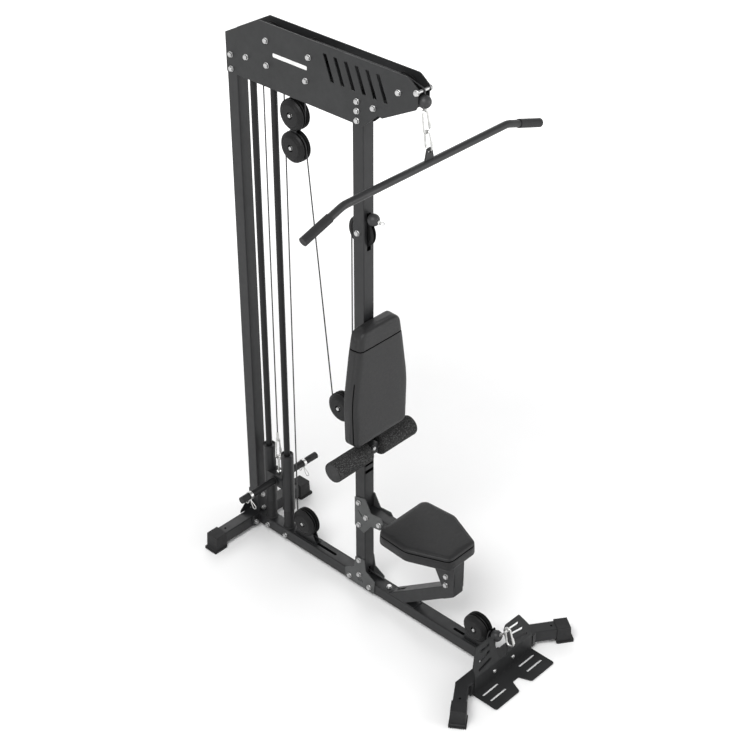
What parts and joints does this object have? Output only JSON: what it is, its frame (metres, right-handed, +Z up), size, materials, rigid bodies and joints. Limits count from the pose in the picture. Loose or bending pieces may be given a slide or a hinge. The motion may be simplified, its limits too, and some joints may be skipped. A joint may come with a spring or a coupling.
{
  "type": "lat pulldown machine",
  "caption": "Plate-loaded lat pulldown tower with seat, back pad, thigh rollers, foot plate, low row and mid pulleys, and a hanging lat bar.",
  "frame": {"origin": "centre of the whole machine's footprint, on the floor under the feet", "axes": "+Z up, +Y from the foot plate towards the weight carriage and rear post, +X to the right seen from the foot plate"},
  "size_m": [1.127, 1.4343, 2.205],
  "materials": {
    "frame_coat": "fine satin powder coat, near black",
    "plate_coat": "satin powder coat, dark grey",
    "header_coat": "satin powder coat, near black",
    "zinc": "bright zinc plate",
    "rod_steel": "polished ground bar",
    "pad_vinyl": "smooth black coated upholstery cloth",
    "foam": "matt closed-cell foam with fine grey flecks",
    "rubber": "matt black rubber",
    "pulley_plastic": "moulded black plastic",
    "cable_jacket": "black plastic jacket on steel cable",
    "bushing_plastic": "black plastic"
  },
  "bodies": {
    "frame": {"base_rail": "frame_coat", "rear_foot_bar": "frame_coat", "front_foot_bar": "frame_coat", "rear_foot_caps": "rubber", "front_foot_caps": "rubber", "foot_plate": "plate_coat", "rear_post": "frame_coat", "front_column": "frame_coat", "header_plate_left": "header_coat", "header_plate_right": "header_coat", "header_spacers": "zinc", "guide_rods": "rod_steel", "rod_bumpers": "rubber", "upper_star_plates": "plate_coat", "lower_star_plates": "plate_coat", "fasteners": "zinc", "seat_arm": "frame_coat", "seat_brace": "frame_coat", "seat_side_plates": "plate_coat", "seat_pad": "pad_vinyl", "back_pad": "pad_vinyl", "back_pad_bracket": "frame_coat", "pulley_covers": "pulley_plastic", "low_rear_bracket": "plate_coat", "low_front_bracket": "plate_coat", "mid_lower_bracket": "plate_coat", "float_block_links": "plate_coat", "header_cable": "cable_jacket", "row_cable": "cable_jacket", "row_ball_stops": "rubber", "row_end_hooks": "zinc"},
    "carriage": {"carriage_sleeves": "frame_coat", "sleeve_bushings": "bushing_plastic", "carriage_block": "frame_coat", "weight_horn": "zinc", "horn_caps": "rubber", "lift_hardware": "zinc", "lift_cable": "cable_jacket"},
    "lat_stop": {"lat_ball_stop": "rubber", "drop_cable": "cable_jacket"},
    "lat_bar": {"lat_hooks": "zinc", "lat_bar": "frame_coat", "lat_bar_grips": "rubber", "lat_bar_tab": "frame_coat"},
    "roller_carrier": {"roller_holder": "frame_coat", "roller_tube": "zinc", "roller_bolt": "zinc"},
    "foam_roller_left": {"foam_roller_left": "foam"},
    "foam_roller_right": {"foam_roller_right": "foam"},
    "collar_left": {"spring_collar_left": "zinc"},
    "collar_right": {"spring_collar_right": "zinc"},
    "header_rear_pulley": {"header_rear_pulley": "pulley_plastic"},
    "header_mid_pulley": {"header_mid_pulley": "pulley_plastic"},
    "header_front_pulley": {"header_front_pulley": "pulley_plastic"},
    "float_upper_pulley": {"float_upper_pulley": "pulley_plastic"},
    "float_lower_pulley": {"float_lower_pulley": "pulley_plastic"},
    "low_rear_pulley": {"low_rear_pulley": "pulley_plastic"},
    "low_front_pulley": {"low_front_pulley": "pulley_plastic"},
    "mid_lower_pulley": {"mid_lower_pulley": "pulley_plastic"},
    "column_pulley": {"column_pulley": "pulley_plastic"}
  },
  "joints": [
    {"name": "carriage_lift", "type": "slide", "parent": "frame", "child": "carriage", "axis": [0, 0, 1], "range_m": [0, 1.2], "deforming": ["lift_cable"]},
    {"name": "lat_pull", "type": "slide", "parent": "frame", "child": "lat_stop", "axis": [0, 0, -1], "range_m": [0, 1.2], "deforming": ["drop_cable"]},
    {"name": "lat_bar_swivel", "type": "hinge", "parent": "lat_stop", "child": "lat_bar", "pos_m": [0, -0.17625, 2.1], "axis": [0, 0, 1], "range_deg": [-40, 40]},
    {"name": "header_rear_spin", "type": "hinge", "parent": "frame", "child": "header_rear_pulley", "pos_m": [0, 0.50375, 2.141], "axis": [1, 0, 0], "continuous": true},
    {"name": "header_mid_spin", "type": "hinge", "parent": "frame", "child": "header_mid_pulley", "pos_m": [0, 0.30375, 2.141], "axis": [1, 0, 0], "continuous": true},
    {"name": "header_front_spin", "type": "hinge", "parent": "frame", "child": "header_front_pulley", "pos_m": [0, -0.09125, 2.141], "axis": [1, 0, 0], "continuous": true},
    {"name": "float_upper_spin", "type": "hinge", "parent": "frame", "child": "float_upper_pulley", "pos_m": [0, 0.40375, 1.901], "axis": [1, 0, 0], "continuous": true},
    {"name": "float_lower_spin", "type": "hinge", "parent": "frame", "child": "float_lower_pulley", "pos_m": [0, 0.40375, 1.781], "axis": [1, 0, 0], "continuous": true},
    {"name": "low_rear_spin", "type": "hinge", "parent": "frame", "child": "low_rear_pulley", "pos_m": [0, 0.40375, 0.147], "axis": [1, 0, 0], "continuous": true},
    {"name": "low_front_spin", "type": "hinge", "parent": "frame", "child": "low_front_pulley", "pos_m": [0, -0.48125, 0.147], "axis": [1, 0, 0], "continuous": true},
    {"name": "mid_lower_spin", "type": "hinge", "parent": "frame", "child": "mid_lower_pulley", "pos_m": [0, 0.19575, 0.802], "axis": [1, 0, 0], "continuous": true},
    {"name": "column_spin", "type": "hinge", "parent": "frame", "child": "column_pulley", "pos_m": [0, 0.09275, 1.572], "axis": [1, 0, 0], "continuous": true},
    {"name": "roller_height", "type": "slide", "parent": "frame", "child": "roller_carrier", "axis": [0, 0, 1], "range_m": [-0.066, 0]},
    {"name": "foam_left_spin", "type": "hinge", "parent": "roller_carrier", "child": "foam_roller_left", "pos_m": [0, 0.04975, 0.684], "axis": [1, 0, 0], "continuous": true},
    {"name": "foam_right_spin", "type": "hinge", "parent": "roller_carrier", "child": "foam_roller_right", "pos_m": [0, 0.04975, 0.684], "axis": [1, 0, 0], "continuous": true},
    {"name": "collar_left_slide", "type": "slide", "parent": "carriage", "child": "collar_left", "axis": [-1, 0, 0], "range_m": [-0.115, 0.056]},
    {"name": "collar_right_slide", "type": "slide", "parent": "carriage", "child": "collar_right", "axis": [1, 0, 0], "range_m": [-0.09, 0.08]}
  ],
  "couplings": [
    {"joint": "lat_pull", "follows": "carriage_lift", "ratio": 1},
    {"joint": "header_rear_spin", "follows": "carriage_lift", "rad_per_m": 20},
    {"joint": "float_upper_spin", "follows": "carriage_lift", "rad_per_m": -20},
    {"joint": "header_mid_spin", "follows": "carriage_lift", "rad_per_m": 20},
    {"joint": "header_front_spin", "follows": "carriage_lift", "rad_per_m": 20}
  ]
}
